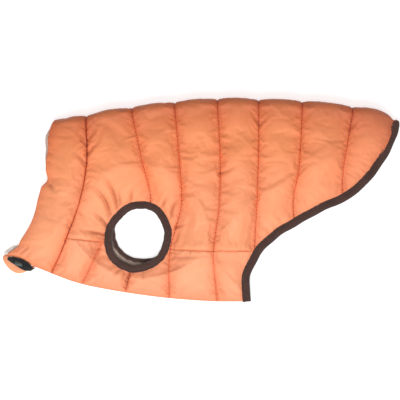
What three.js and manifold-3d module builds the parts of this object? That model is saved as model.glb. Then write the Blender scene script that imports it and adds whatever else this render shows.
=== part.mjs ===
// Padded winter coat for a medium dog, folded in half along the spine and lying on its right side.
// Millimetres. X runs from the neck to the tail, Y from the belly to the spine, Z up from the surface
// that the coat lies on. The origin is on that surface, under the middle of the coat.
// The left half is the upper layer and the right half the lower one. The collar and the back panel are
// padded walls that turn round the spine fold; the belly halves meet at a zip along the bottom edge.
import * as THREE from "three";
import Module from "manifold-3d";
import { mergeVertices } from "three/addons/utils/BufferGeometryUtils.js";

const wasm = await Module();
wasm.setup();

// ---------------------------------------------------------------- driving dimensions
const SEAM = 2.5; // wall where it is stitched flat
const LOFT = 15; // wall at the crown of a quilted channel
const PARTING = 4; // from lining side to lining side of the two layers at the crowns
const REST_MID = 6.4; // middle of the lower layer: less than half its loft, so its crowns lie flat
const CLEAR = 0.3; // between two pieces that meet

const BINDING = { thick: 5, edge: 1.2, hemWidth: 8.2, legWidth: 8 };
const BOUND_MID = { right: 3.5, left: 11 }; // middles of the two layers at a bound edge
const OPEN_MID = { right: 5, left: 15.5 }; // and at the open neck edge
const LINING = 0.8;

// One row for each line that crosses the coat from the spine to the belly edge or past the hem.
// bow is how far the line runs tailward of straight at a quarter, half and three quarters of its length.
// back and belly say which panel is stitched along it.
const LINES = [
  { name: "neck", spine: [-176, 95], foot: [-229, -66], bow: [5, 12, 14], back: true, belly: true },
  { name: "collar_seam", spine: [-136, 102], foot: [-179, -88], bow: [12, 15, 10], back: true, belly: true },
  { name: "chest", spine: [-108, 109], foot: [-142, -101], bow: [13, 20, 15], back: false, belly: true },
  { name: "leg", spine: [-81, 113], foot: [-90, -111], bow: [14, 26, 11], back: true, belly: true },
  { name: "ribs", spine: [-30, 119], foot: [-37, -118], bow: [7, 11, -1], back: true, belly: true },
  { name: "waist", spine: [21, 122.8], foot: [21, -122], bow: [2, 1, -5], back: true, belly: true },
  { name: "belly_corner", spine: [57, 122.4], foot: [64, -122], bow: [-3, -4, -4], back: false, belly: false },
  { name: "loin", spine: [70, 122], foot: [84, -66], bow: [-3, -7, -10], back: true, belly: true },
  { name: "croup", spine: [122, 120], foot: [121, -36], bow: [-1, -3, -6], back: true, belly: false },
  { name: "rump", spine: [182, 113.5], foot: [182, -8], bow: [-2, -6, -8], back: true, belly: false },
  { name: "hem", spine: [240, 95], foot: [246, 76], bow: [0, 0, 0], back: true, belly: false },
];
const ROW = Object.fromEntries(LINES.map((line, i) => [line.name, i]));
const LINED_TO = ROW.ribs; // the lining is modelled back to this line, past the leg openings
const BELLY_LEVEL = -122; // the belly edge runs level behind the waist
const CLOSURE = 13; // the belly edges stay close together over this width

// The hem's free edge, from the belly edge up to the tail, where it meets the spine fold.
const HEM = [
  [61, -121.8], [59, -98], [64, -82], [77, -60], [97, -42], [121, -28],
  [150, -12], [180, 2], [205, 24], [226, 54], [236, 76], [238.8, 90],
];

// The free edges of the leg openings. The lower one lies further towards the tail and the spine.
const LEG = {
  left: { x: -74.5, y: -44.5, long: 36.2, short: 31.4, tilt: 50 },
  right: { x: -69.5, y: -39, long: 33, short: 32, tilt: 0 },
};
// Height of the side seam along the coat, before and behind the leg opening.
const SIDE_SEAM = [[-230, -43], [-161, -45], [-118, -50], [-35, -59], [15, -60.5], [90, -61]];

// The lower layer's neck edge shows this far past the upper one's.
const PEEK = 3;

// How far the zip's tape reaches inside and outside the belly edge, by place along the coat.
const ZIP_TAPE = [
  { s: 0.02, inside: 3, outside: 5.5 },
  { s: 0.3, inside: 3, outside: 6.5 },
  { s: 0.62, inside: 5, outside: 2.5 },
  { s: 0.8, inside: 10, outside: -3 },
  { s: 5.6, inside: 12, outside: -3 },
];
const SLIDER = { long: 10, wide: 5, thick: 2.6, s: 0.27, outside: 3.2 };
// The underlap of the closure shows past the zip as a crescent at the neck end.
const FLAP = [[-231, -64], [-238.8, -71], [-234, -79], [-226, -86], [-219, -88.5], [-209, -86], [-199, -84]];
const FLAP_THICK = 8.5;

// ---------------------------------------------------------------- numbers
const clamp = (x, low, high) => Math.min(high, Math.max(low, x));
const mix = (a, b, t) => a + (b - a) * t;
const ease = (d, width) => THREE.MathUtils.smoothstep(d, 0, width);
const quarterRound = (d, width) => Math.sqrt(1 - (1 - clamp(d / width, 0, 1)) ** 2);

function curveOf(points) {
  return new THREE.CatmullRomCurve3(points.map(([x, y]) => new THREE.Vector3(x, y, 0)));
}

// Straight-line reading of a table whose rows give a place and a value.
function tableAt(rows, at) {
  const next = rows.findIndex(([place]) => place > at);
  const i = next < 0 ? rows.length - 1 : Math.max(next, 1);
  const [place0, value0] = rows[i - 1];
  const [place1, value1] = rows[i];
  return mix(value0, value1, clamp((at - place0) / (place1 - place0), 0, 1));
}

// Cubic through evenly spaced knots.
function throughKnots(knots, t) {
  const i = clamp(Math.floor(t), 0, knots.length - 2);
  const f = t - i;
  const b = knots[i];
  const c = knots[i + 1];
  const a = knots[i - 1] ?? 2 * b - c;
  const d = knots[i + 2] ?? 2 * c - b;
  return b + 0.5 * f * (c - a + f * (2 * a - 5 * b + 4 * c - d + f * (3 * (b - c) + d - a)));
}

function distanceTo(samples, x, y) {
  let best = Infinity;
  for (let i = 1; i < samples.length; i++) {
    const a = samples[i - 1];
    const b = samples[i];
    const dx = b.x - a.x;
    const dy = b.y - a.y;
    const t = clamp(((x - a.x) * dx + (y - a.y) * dy) / (dx * dx + dy * dy), 0, 1);
    best = Math.min(best, Math.hypot(x - a.x - t * dx, y - a.y - t * dy));
  }
  return best;
}

// Distance from a leg opening's free edge, positive outside it.
function fromLeg(side, x, y) {
  const leg = LEG[side];
  const angle = THREE.MathUtils.degToRad(leg.tilt);
  const along = (x - leg.x) * Math.cos(angle) + (y - leg.y) * Math.sin(angle);
  const across = (y - leg.y) * Math.cos(angle) - (x - leg.x) * Math.sin(angle);
  const scale = Math.hypot(along / leg.long, across / leg.short);
  return (1 - 1 / scale) * Math.hypot(along, across);
}

// ---------------------------------------------------------------- the plan of one layer
// Along the coat s counts the rows of LINES. Down a line v is 0 at the spine fold and 1 at its foot.
function lineData(s) {
  const at = (read) => throughKnots(LINES.map(read), s);
  return {
    spineX: at((line) => line.spine[0]),
    spineY: at((line) => line.spine[1]),
    footX: at((line) => line.foot[0]),
    footY: Math.max(at((line) => line.foot[1]), BELLY_LEVEL),
    bow: [0, at((line) => line.bow[0]), at((line) => line.bow[1]), at((line) => line.bow[2]), 0],
  };
}

function planPoint(line, top, v) {
  return { x: mix(line.spineX, line.footX, v) + throughKnots(line.bow, v * 4), y: mix(top, line.footY, v) };
}

function samplesOf(count, read) {
  return Array.from({ length: count + 1 }, (_, i) => read(i / count));
}

const neckLine = lineData(ROW.neck);
const neckSamples = samplesOf(24, (v) => planPoint(neckLine, neckLine.spineY, v));
const bellySamples = samplesOf(60, (share) => planPoint(lineData(share * ROW.belly_corner), 0, 1));
const hemCurve = curveOf(HEM);
const hemSamples = hemCurve.getSpacedPoints(160);

function seamHeight(x) {
  return tableAt(SIDE_SEAM, x);
}

// ---------------------------------------------------------------- the padded wall
// The height of a layer's middle and the thickness of its wall between the stitched lines.
function wallAt(side, x, y) {
  const bound = Math.min(
    distanceTo(hemSamples, x, y) - BINDING.hemWidth,
    fromLeg(side, x, y) - BINDING.legWidth,
  );
  const neck = distanceTo(neckSamples, x, y);
  const belly = distanceTo(bellySamples, x, y);
  const puff = quarterRound(bound, 20) * quarterRound(neck + 2, 14) * quarterRound(belly - 1, 26);
  const lift = ease(Math.min(bound, belly - CLOSURE), 46);
  const open = 1 - ease(neck, 40);
  const full = side === "right" ? REST_MID : REST_MID + LOFT + PARTING;
  return { crown: SEAM + (LOFT - SEAM) * puff, mid: mix(BOUND_MID[side], mix(full, OPEN_MID[side], open), lift) };
}

// 0 on a stitched line and 1 in the middle of the channel between two.
function channel(s, panel) {
  let low = clamp(Math.floor(s), 0, LINES.length - 2);
  while (!LINES[low][panel]) low--;
  let high = Math.floor(s) + 1;
  while (high < LINES.length - 1 && !LINES[high][panel]) high++;
  const q = clamp((s - low) / (high - low), 0, 1);
  return Math.sqrt(Math.max(0, 1 - (2 * q - 1) ** 2));
}

const FOLD_QUILT = 0.55; // on the fold a stitched line is drawn in by this share of the channel's depth
const FOLD_REACH = 30; // the fold's shape fades out over this depth
const SEAM_PINCH = 12; // the side seam draws the channels in over this width
const SHARE = { back: 1, belly: 0.6 }; // the belly is padded more thinly

// The spine fold at the top of one line: an arc round a centre line.
function foldAt(line) {
  const upper = wallAt("left", line.spineX, line.spineY);
  const lower = wallAt("right", line.spineX, line.spineY);
  const radius = (upper.mid - lower.mid) / 2;
  const z = (upper.mid + lower.mid) / 2;
  return { radius, z, top: line.spineY - radius - upper.crown / 2, crown: upper.crown };
}

// The wall at a turn of the fold, where 0 faces up and PI faces down.
function foldStation(s, turn) {
  const line = lineData(s);
  const fold = foldAt(line);
  const depth = (fold.crown - SEAM) * FOLD_QUILT;
  const wall = fold.crown - depth * (1 - channel(s, "back"));
  const out = new THREE.Vector3(0, Math.sin(turn), Math.cos(turn));
  const middle = new THREE.Vector3(line.spineX, fold.top, fold.z).addScaledVector(out, fold.radius);
  return { middle, out, wall, parting: null };
}

// The wall at a place down one side.
function sideStation(s, panel, side, v) {
  const line = lineData(s);
  const fold = foldAt(line);
  const { x, y } = planPoint(line, fold.top, v);
  const layer = { left: wallAt("left", x, y), right: wallAt("right", x, y) };
  const up = side === "left" ? 1 : -1;
  const nearFold = 1 - ease(fold.top - y, FOLD_REACH);
  const pinch = s > ROW.collar_seam ? quarterRound(Math.abs(y - seamHeight(x)) + 1, SEAM_PINCH) : 1;
  const depth = (layer[side].crown - SEAM) * pinch * SHARE[panel];
  const wall = SEAM + depth - depth * (1 - channel(s, panel)) * mix(1, FOLD_QUILT, nearFold);
  const z = mix(layer[side].mid, fold.z + up * fold.radius, nearFold);
  const parting = mix((layer.left.mid + layer.right.mid) / 2, fold.z, nearFold);
  const peek = side === "right" ? PEEK * clamp(ROW.collar_seam - s, 0, 1) * ease(v, 0.2) : 0;
  return { middle: new THREE.Vector3(x - peek, y, z), out: new THREE.Vector3(0, 0, up), wall, parting };
}

// The share of a line's length at which it crosses the side seam.
function seamShare(s) {
  const line = lineData(s);
  const { top } = foldAt(line);
  let low = 0;
  let high = 1;
  for (let k = 0; k < 30; k++) {
    const middle = (low + high) / 2;
    const { x, y } = planPoint(line, top, middle);
    if (y > seamHeight(x)) low = middle;
    else high = middle;
  }
  return low;
}

// The shell's two faces. Each layer keeps to its own side of the parting, and the lower one lies flat.
function shellFaces({ middle, out, wall, parting }) {
  const outer = middle.clone().addScaledVector(out, wall / 2);
  const inner = middle.clone().addScaledVector(out, -wall / 2);
  outer.z = Math.max(outer.z, 0);
  if (parting !== null) inner.z = parting + out.z * Math.max(PARTING / 2, (inner.z - parting) * out.z);
  return { outer, inner };
}

// The lining lies on the shell's inner face.
function liningFaces(station) {
  const { inner } = shellFaces(station);
  return {
    outer: inner.clone().addScaledVector(station.out, -CLEAR),
    inner: inner.clone().addScaledVector(station.out, -CLEAR - LINING),
  };
}

// ---------------------------------------------------------------- solids
function manifoldOf(geometry) {
  const bare = geometry.clone();
  bare.deleteAttribute("normal");
  bare.deleteAttribute("uv");
  const merged = mergeVertices(bare, 1e-4);
  return new wasm.Manifold(
    new wasm.Mesh({
      numProp: 3,
      vertProperties: new Float32Array(merged.attributes.position.array),
      triVerts: new Uint32Array(merged.index.array),
    }),
  );
}

function solidOf(points, triangles) {
  const positions = points.flatMap((p) => [p.x, p.y, p.z]);
  const geometry = new THREE.BufferGeometry();
  geometry.setAttribute("position", new THREE.Float32BufferAttribute(positions, 3));
  geometry.setIndex(triangles.flat());
  return manifoldOf(geometry);
}

// The solid's largest body: a cut can leave a sliver behind.
function geometryOf(solid) {
  const largest = solid.decompose().reduce((a, b) => (a.volume() > b.volume() ? a : b));
  const { vertProperties, triVerts } = largest.getMesh();
  const geometry = new THREE.BufferGeometry();
  geometry.setAttribute("position", new THREE.BufferAttribute(new Float32Array(vertProperties), 3));
  geometry.setIndex(new THREE.BufferAttribute(new Uint32Array(triVerts), 1));
  geometry.computeVertexNormals();
  return geometry;
}

// A wall from a grid of faces: grid[i][j] = { outer, inner }, i along the coat and j across it.
function wallSolid(grid) {
  const columns = grid[0].length;
  const inside = grid.length * columns;
  const points = [...grid.flat().map((p) => p.outer), ...grid.flat().map((p) => p.inner)];
  const triangles = [];
  const quad = (a, b, c, d) => triangles.push([a, b, c], [a, c, d]);
  for (let i = 0; i < grid.length - 1; i++) {
    const near = i * columns;
    const far = near + columns;
    const end = columns - 1;
    for (let j = 0; j < end; j++) {
      quad(near + j, far + j, far + j + 1, near + j + 1);
      quad(inside + near + j, inside + near + j + 1, inside + far + j + 1, inside + far + j);
    }
    quad(far, near, inside + near, inside + far);
    quad(near + end, far + end, inside + far + end, inside + near + end);
  }
  const last = (grid.length - 1) * columns;
  for (let j = 0; j < columns - 1; j++) {
    quad(j, j + 1, inside + j + 1, inside + j);
    quad(last + j + 1, last + j, inside + last + j, inside + last + j + 1);
  }
  return facingOut(points, triangles);
}

function facingOut(points, triangles) {
  const solid = solidOf(points, triangles);
  return solid.volume() > 0 ? solid : solidOf(points, triangles.map(([a, b, c]) => [c, b, a]));
}

// A sweep of one polygon along stations { at, inward, out }; the polygon's points are [inward, out] pairs.
function sweepSolid(stations, polygon, closed) {
  const count = polygon.length;
  const points = stations.flatMap(({ at, inward, out }) =>
    polygon.map(([n, b]) => at.clone().addScaledVector(inward, n).addScaledVector(out, b)),
  );
  const triangles = [];
  const spans = closed ? stations.length : stations.length - 1;
  for (let i = 0; i < spans; i++) {
    const here = i * count;
    const next = ((i + 1) % stations.length) * count;
    for (let j = 0; j < count; j++) {
      const k = (j + 1) % count;
      triangles.push([here + j, here + k, next + k], [here + j, next + k, next + j]);
    }
  }
  if (!closed) {
    const flat = polygon.map(([n, b]) => new THREE.Vector2(n, b));
    const last = (stations.length - 1) * count;
    for (const [a, b, c] of THREE.ShapeUtils.triangulateShape(flat, [])) {
      triangles.push([c, b, a], [last + a, last + b, last + c]);
    }
  }
  return facingOut(points, triangles);
}

// ---------------------------------------------------------------- bound edges
const SPACING = (BOUND_MID.left - BOUND_MID.right) / 2; // half the distance between the bound layers

function hemPath() {
  const steps = 34;
  const side = (height, up) =>
    hemCurve.getSpacedPoints(steps).map((p, i) => {
      const along = hemCurve.getTangentAt(i / steps);
      const at = new THREE.Vector3(p.x, p.y, height);
      return { at, inward: new THREE.Vector3(-along.y, along.x, 0), out: new THREE.Vector3(0, 0, up) };
    });
  const upper = side(BOUND_MID.left, 1);
  const lower = side(BOUND_MID.right, -1).reverse();
  const end = upper.at(-1);
  const centre = end.at.clone().setZ(BOUND_MID.right + SPACING);
  const turns = [1, 2, 3, 4, 5].map((k) => {
    const turn = (k * Math.PI) / 6;
    const out = new THREE.Vector3(0, Math.sin(turn), Math.cos(turn));
    return { at: centre.clone().addScaledVector(out, SPACING), inward: end.inward, out };
  });
  return [...upper, ...turns, ...lower];
}

function legPath(side) {
  const { x, y, long, short, tilt } = LEG[side];
  const steps = 36;
  const up = side === "left" ? 1 : -1;
  const axis = new THREE.Vector3(0, 0, 1);
  const tip = THREE.MathUtils.degToRad(tilt);
  return Array.from({ length: steps }, (_, i) => {
    const angle = (i / steps) * 2 * Math.PI;
    const at = new THREE.Vector3(long * Math.cos(angle), short * Math.sin(angle), 0).applyAxisAngle(axis, tip);
    const inward = new THREE.Vector3(Math.cos(angle) / long, Math.sin(angle) / short, 0).normalize();
    at.add(new THREE.Vector3(x, y, BOUND_MID[side]));
    return { at, inward: inward.applyAxisAngle(axis, tip), out: new THREE.Vector3(0, 0, up) };
  });
}

// A folded tape: a channel that the panel's edge sits in.
function bindingSection(width) {
  const half = BINDING.thick / 2;
  const slot = SEAM / 2 + CLEAR;
  const { edge } = BINDING;
  return [
    [0, -half], [width, -half], [width, -slot], [edge, -slot],
    [edge, slot], [width, slot], [width, half], [0, half],
  ];
}

const PAST = 24; // the trimming solids reach this far past what they trim
const INNER = -SPACING + 0.05; // and stop short of the other layer

// What a panel gives up to its binding: all but a tongue that fills the binding's channel.
function trimSection(width) {
  const tongue = SEAM / 2;
  const root = BINDING.edge + CLEAR;
  const reach = width + CLEAR;
  return [
    [-PAST, INNER], [reach, INNER], [reach, -tongue], [root, -tongue],
    [root, tongue], [reach, tongue], [reach, PAST], [-PAST, PAST],
  ];
}

function blockSection(width) {
  const reach = width + CLEAR;
  return [[-PAST, INNER], [reach, INNER], [reach, PAST], [-PAST, PAST]];
}

const hem = hemPath();
const legs = { left: legPath("left"), right: legPath("right") };
const hemTrim = sweepSolid(hem, trimSection(BINDING.hemWidth), false);
const legTrim = {};
const legBlock = {};
for (const side of ["left", "right"]) {
  legTrim[side] = sweepSolid(legs[side], trimSection(BINDING.legWidth), true);
  legBlock[side] = sweepSolid(legs[side], blockSection(BINDING.legWidth), true);
}

// ---------------------------------------------------------------- panels
const COLLAR_STEPS = [0, 0.12, 0.32, 0.55, 0.8];
const CHANNEL_STEPS = [0, 0.16, 0.5, 0.84];
const WIDE_STEPS = [0, 0.08, 0.25, 0.5, 0.75, 0.92]; // where a channel takes two rows of LINES
const FOLD_TURNS = [0.9, 0.7, 0.5, 0.3, 0.1].map((share) => share * Math.PI);
const SEAM_SHARE = 0.004; // half a seam's gap, as a share of one row of LINES

function stationsAlong(from, to, panel) {
  const rows = LINES.map((_, i) => i).filter((i) => LINES[i][panel]);
  const stops = rows.filter((i) => i >= Math.floor(from) && i <= Math.ceil(to));
  const found = [];
  for (let k = 0; k < stops.length - 1; k++) {
    const wide = stops[k + 1] - stops[k] > 1;
    const steps = stops[k] === ROW.neck ? COLLAR_STEPS : wide ? WIDE_STEPS : CHANNEL_STEPS;
    found.push(...steps.map((q) => mix(stops[k], stops[k + 1], q)));
  }
  return [from, ...found.filter((s) => s > from + 0.02 && s < to - 0.02), to];
}

// A wall that turns round the spine, from the lower layer's free end to the upper one's.
function foldedGrid([from, to], rows, endAt, faces) {
  return stationsAlong(from, to, "back").map((s) => {
    const shares = samplesOf(rows, (share) => share * endAt(s));
    const lower = shares.map((v) => sideStation(s, "back", "right", v)).reverse();
    const turns = FOLD_TURNS.map((turn) => foldStation(s, turn));
    const upper = shares.map((v) => sideStation(s, "back", "left", v));
    return [...lower, ...turns, ...upper].map(faces);
  });
}

// A wall from the side seam down to the belly edge, in one layer.
function bellyGrid(side, to, faces) {
  return stationsAlong(ROW.collar_seam + SEAM_SHARE, to, "belly").map((s) => {
    const start = seamShare(s) + seamGap(s);
    const shares = samplesOf(4, (share) => mix(start, 1, share));
    return shares.map((v) => faces(sideStation(s, "belly", side, v)));
  });
}

// Half a seam's gap, as a share of the line that crosses it.
function seamGap(s) {
  const line = lineData(s);
  return CLEAR / 2 / (line.spineY - line.footY);
}

const backEnd = (s) => (s < ROW.loin ? seamShare(s) - seamGap(s) : 1);
const LAST_BELLY = 6.9; // the belly panel's last line, just past the hem
const COLLAR_SPAN = [ROW.neck, ROW.collar_seam - SEAM_SHARE];
const BACK_SPAN = [ROW.collar_seam + SEAM_SHARE, ROW.hem];
const LINED_SPAN = [BACK_SPAN[0], LINED_TO];

function collar(faces) {
  return wallSolid(foldedGrid(COLLAR_SPAN, 9, () => 1, faces));
}

// Every lining stops short of the zip's tape.
function collarLining() {
  return collar(liningFaces).subtract(closureBlock());
}

function backPanel() {
  const wall = wallSolid(foldedGrid(BACK_SPAN, 8, backEnd, shellFaces));
  return wall.subtract(hemTrim).subtract(legTrim.left).subtract(legTrim.right);
}

function backLining() {
  const wall = wallSolid(foldedGrid(LINED_SPAN, 8, backEnd, liningFaces));
  return wall.subtract(legBlock.left).subtract(legBlock.right);
}

function bellyPanel(side) {
  return wallSolid(bellyGrid(side, LAST_BELLY, shellFaces)).subtract(hemTrim).subtract(legTrim[side]);
}

function bellyLining(side) {
  return wallSolid(bellyGrid(side, LINED_TO, liningFaces)).subtract(legBlock[side]).subtract(closureBlock());
}

// ---------------------------------------------------------------- the closure
// A point off the belly edge, square to it: outside is away from the coat.
function offBellyEdge(s, outside) {
  const step = 0.01;
  const before = lineData(s - step);
  const after = lineData(s + step);
  const here = lineData(s);
  const along = new THREE.Vector2(after.footX - before.footX, after.footY - before.footY).normalize();
  return new THREE.Vector2(here.footX + along.y * outside, here.footY - along.x * outside);
}

// The strip along the belly edge that holds the closure, through both layers.
function closureBlock() {
  const margin = 20;
  const grid = samplesOf(30, (share) =>
    [-CLOSURE - 2, margin].map((outside) => {
      const { x, y } = offBellyEdge(mix(-0.5, ROW.waist, share), outside);
      return { outer: new THREE.Vector3(x, y, 2 * LOFT + margin), inner: new THREE.Vector3(x, y, -margin) };
    }),
  );
  return wallSolid(grid);
}

const TAPE_BASE = BOUND_MID.right + SPACING - PARTING / 2 + CLEAR;
const TAPE_TOP = BOUND_MID.right + SPACING + PARTING / 2 - CLEAR;

function zipTape() {
  const reachAt = (s, edge) => tableAt(ZIP_TAPE.map((row) => [row.s, row[edge]]), s);
  const crowd = 1.6; // stations are closer together at the neck end
  const grid = samplesOf(30, (share) => {
    const s = mix(ZIP_TAPE[0].s, ZIP_TAPE.at(-1).s, share ** crowd);
    return [-reachAt(s, "inside"), reachAt(s, "outside")].map((outside) => {
      const { x, y } = offBellyEdge(s, outside);
      return { outer: new THREE.Vector3(x, y, TAPE_TOP), inner: new THREE.Vector3(x, y, TAPE_BASE) };
    });
  });
  return wallSolid(grid);
}

function slider() {
  const { long, wide, thick } = SLIDER;
  const bevel = 0.5;
  const outline = new THREE.Shape();
  outline.moveTo(-long / 2, -wide / 4);
  outline.quadraticCurveTo(-long / 2, -wide / 2, 0, -wide / 2);
  outline.quadraticCurveTo(long / 2, -wide / 2, long / 2, 0);
  outline.quadraticCurveTo(long / 2, wide / 2, 0, wide / 2);
  outline.quadraticCurveTo(-long / 2, wide / 2, -long / 2, wide / 4);
  const edges = { bevelThickness: bevel, bevelSize: bevel, bevelOffset: -bevel, bevelSegments: 1 };
  const body = new THREE.ExtrudeGeometry(outline, { depth: thick - 2 * bevel, curveSegments: 6, ...edges });
  const at = offBellyEdge(SLIDER.s, SLIDER.outside);
  const ahead = offBellyEdge(SLIDER.s + 0.1, SLIDER.outside);
  body.rotateZ(Math.atan2(ahead.y - at.y, ahead.x - at.x));
  body.translate(at.x, at.y, TAPE_TOP + CLEAR + bevel);
  return manifoldOf(body);
}

// The crescent is cut back from the collar and the tape, with the same gap all round.
function closureFlap() {
  const overlap = 2;
  const edge = samplesOf(12, (share) => offBellyEdge(mix(0.62, 0.02, share), -overlap));
  const outline = new THREE.Shape([...curveOf(FLAP).getPoints(18), ...edge]);
  const block = manifoldOf(new THREE.ExtrudeGeometry(outline, { depth: FLAP_THICK, bevelEnabled: false }));
  const shifts = [[0, 0, CLEAR], [0, 0, -CLEAR], [-CLEAR, -CLEAR, 0], [-CLEAR, 0, 0], [0, -CLEAR, 0]];
  const neighbours = [collar(shellFaces), zipTape()];
  const cutters = neighbours.flatMap((solid) => shifts.map((shift) => solid.translate(shift)));
  return cutters.reduce((solid, cutter) => solid.subtract(cutter), block);
}

// ---------------------------------------------------------------- the coat
const LOOKS = {
  shell: { color: "#f79d70", roughness: 0.55, metalness: 0 },
  lining: { color: "#c6a894", roughness: 0.85, metalness: 0 },
  binding: { color: "#513833", roughness: 0.8, metalness: 0 },
  zip: { color: "#1f2222", roughness: 0.6, metalness: 0 },
  slider: { color: "#2b2e2f", roughness: 0.25, metalness: 0.4 },
};

const PIECES = [
  ["collar", collar(shellFaces), "shell"],
  ["back_panel", backPanel(), "shell"],
  ["belly_left", bellyPanel("left"), "shell"],
  ["belly_right", bellyPanel("right"), "shell"],
  ["collar_lining", collarLining(), "lining"],
  ["back_lining", backLining(), "lining"],
  ["belly_lining_left", bellyLining("left"), "lining"],
  ["belly_lining_right", bellyLining("right"), "lining"],
  ["hem_binding", sweepSolid(hem, bindingSection(BINDING.hemWidth), false), "binding"],
  ["leg_binding_left", sweepSolid(legs.left, bindingSection(BINDING.legWidth), true), "binding"],
  ["leg_binding_right", sweepSolid(legs.right, bindingSection(BINDING.legWidth), true), "binding"],
  ["zip_tape", zipTape(), "zip"],
  ["zip_slider", slider(), "slider"],
  ["closure_flap", closureFlap(), "shell"],
];

const coat = new THREE.Group();
for (const [name, solid, look] of PIECES) {
  const mesh = new THREE.Mesh(geometryOf(solid), new THREE.MeshStandardMaterial(LOOKS[look]));
  mesh.name = name;
  coat.add(mesh);
}

export default coat;
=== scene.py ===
"""A padded dog coat, folded in half along the spine and lying on its right side.

The plan is worked out in millimetres, in the frame's axes: X from neck to tail, Y from belly to spine.
Each padded wall is a cloth simulation: the stitched lines, the bound edges and the main creases are
held, and the cloth between them is a little too long for its place and blown out by its filling.
"""

import math

import bmesh
import bpy
import numpy as np
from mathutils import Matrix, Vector, geometry, kdtree


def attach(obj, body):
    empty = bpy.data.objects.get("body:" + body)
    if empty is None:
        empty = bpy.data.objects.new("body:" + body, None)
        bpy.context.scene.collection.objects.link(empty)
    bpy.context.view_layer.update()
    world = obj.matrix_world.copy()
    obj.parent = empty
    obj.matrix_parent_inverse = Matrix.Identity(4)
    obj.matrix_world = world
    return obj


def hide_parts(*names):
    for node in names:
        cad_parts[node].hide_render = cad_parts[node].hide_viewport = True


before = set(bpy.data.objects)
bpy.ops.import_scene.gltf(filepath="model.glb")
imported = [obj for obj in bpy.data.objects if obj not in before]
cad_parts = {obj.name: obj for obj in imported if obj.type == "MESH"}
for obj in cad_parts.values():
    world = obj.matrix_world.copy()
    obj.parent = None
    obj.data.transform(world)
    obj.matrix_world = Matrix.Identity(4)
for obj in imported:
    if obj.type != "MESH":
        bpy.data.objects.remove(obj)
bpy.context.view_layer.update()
MM = 0.001


def table(columns, *rows):
    """Rows with named columns."""
    return [dict(zip(columns.split(), row)) for row in rows]


# ---------------- sizes, in millimetres
SEAM = 2.5  # wall where it is stitched flat
LOFT = 15.0  # wall at the crown of a channel
PARTING = 4.0  # between the two layers at the crowns
REST_MID = 6.4  # middle of the lower layer
BINDING = {"thick": 5.0, "edge": 1.2, "hem": 9.6, "leg": 8.8, "far_leg": 5.2, "proud": 0.6, "cloth": 0.9}
# Height of each layer's middle at a tape, and at the neck.
BOUND_MID = {"right": 3.5, "left": 11.0}
OPEN_MID = {"right": 5.0, "left": 15.5}
CLOSURE = 13.0  # how far the closure holds the layers together, in from the belly edge
BELLY_LEVEL = -122.0
FULL_AT = {"tape": 20, "neck": 14, "belly": 26}  # the wall is at its full thickness this far in
LIFT_REACH = {"tape": 46, "neck": 40}  # and its middle at its full height

# The lines across the coat, as in the construction: spine end, foot, and how far the line runs
# tailward of straight at a quarter, half and three quarters of its length.
LINES = table(
    "name spine foot bow panels",
    ("neck", (-176, 98), (-229, -66), (5, 12, 14), "both"),
    ("collar_seam", (-136, 103), (-179, -88), (12, 15, 10), "both"),
    ("chest", (-108, 109), (-142, -101), (13, 20, 15), "belly"),
    ("leg", (-81, 113), (-90, -111), (14, 26, 11), "both"),
    ("ribs", (-30, 119), (-37, -118), (7, 11, -1), "both"),
    ("waist", (21, 122.8), (21, -122), (3, 2, -5), "both"),
    ("belly_corner", (57, 122.4), (64, -122), (-3, -4, -4), "none"),
    ("loin", (70, 122), (65.5, -66), (1, 1, 0.5), "back"),
    ("croup", (122, 120), (115, -36), (0, -1, -5), "back"),
    ("rump", (182, 113.5), (174, -8), (-3, -5.5, -5), "back"),
    ("tail", (222, 106.5), (222, 40), (0, 0, 0), "none"),
    ("hem", (240, 95), (246, 76), (0, 0, 0), "back"),
)
ROW = {line["name"]: i for i, line in enumerate(LINES)}
# The hem's edge, from the belly corner to the spine fold.
HEM = [
    (61, -121.8), (59, -98), (64, -82), (77, -60), (97, -42), (121, -28),
    (150, -12), (180, 2), (205, 24), (226, 54), (236.4, 76), (240, 90),
]
# How far the far layer's neck edge shows past the near one, down from the spine.
PEEK = table(
    "y past",
    (96, 0), (86, 1), (78, 4.2), (58, 3.6), (42, 1.4), (0, 1.2), (-66, 1),
)
# How far the neck edge stands in from its line, towards the tail.
NECK_WAVE = table(
    "y shift",
    (99, 4.5), (95, 0.5), (91, -2), (84, -3), (72, -2.5), (60, 0.5), (48, 0.5), (36, 1.5),
    (26, 5.5), (22, 5), (16, -0.5), (0, -1.5), (-48, 0), (-55, 2.5), (-59, 1), (-63.5, -3),
    (-66, -3),
)
BELLY_END = 78.0  # where the last channel of the belly would end, past its bound edge
CHANNEL_ROUND = 0.68  # 0.5 gives a channel's section an elliptic arch, 1 a parabolic one
LEG = {
    "left": {"x": -74.5, "y": -44.5, "long": 35.2, "short": 31.0, "tilt": 62.0},
    "right": {"x": -69.5, "y": -39.0, "long": 34.0, "short": 33.0, "tilt": 0.0},
}
SEAM_START = -46.0  # the side seam's height where it leaves the collar seam
SIDE_SEAM = [(-230, -43), (-161, -45), (-118, -50), (-35, -59), (15, -60.5), (90, -61)]

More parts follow.
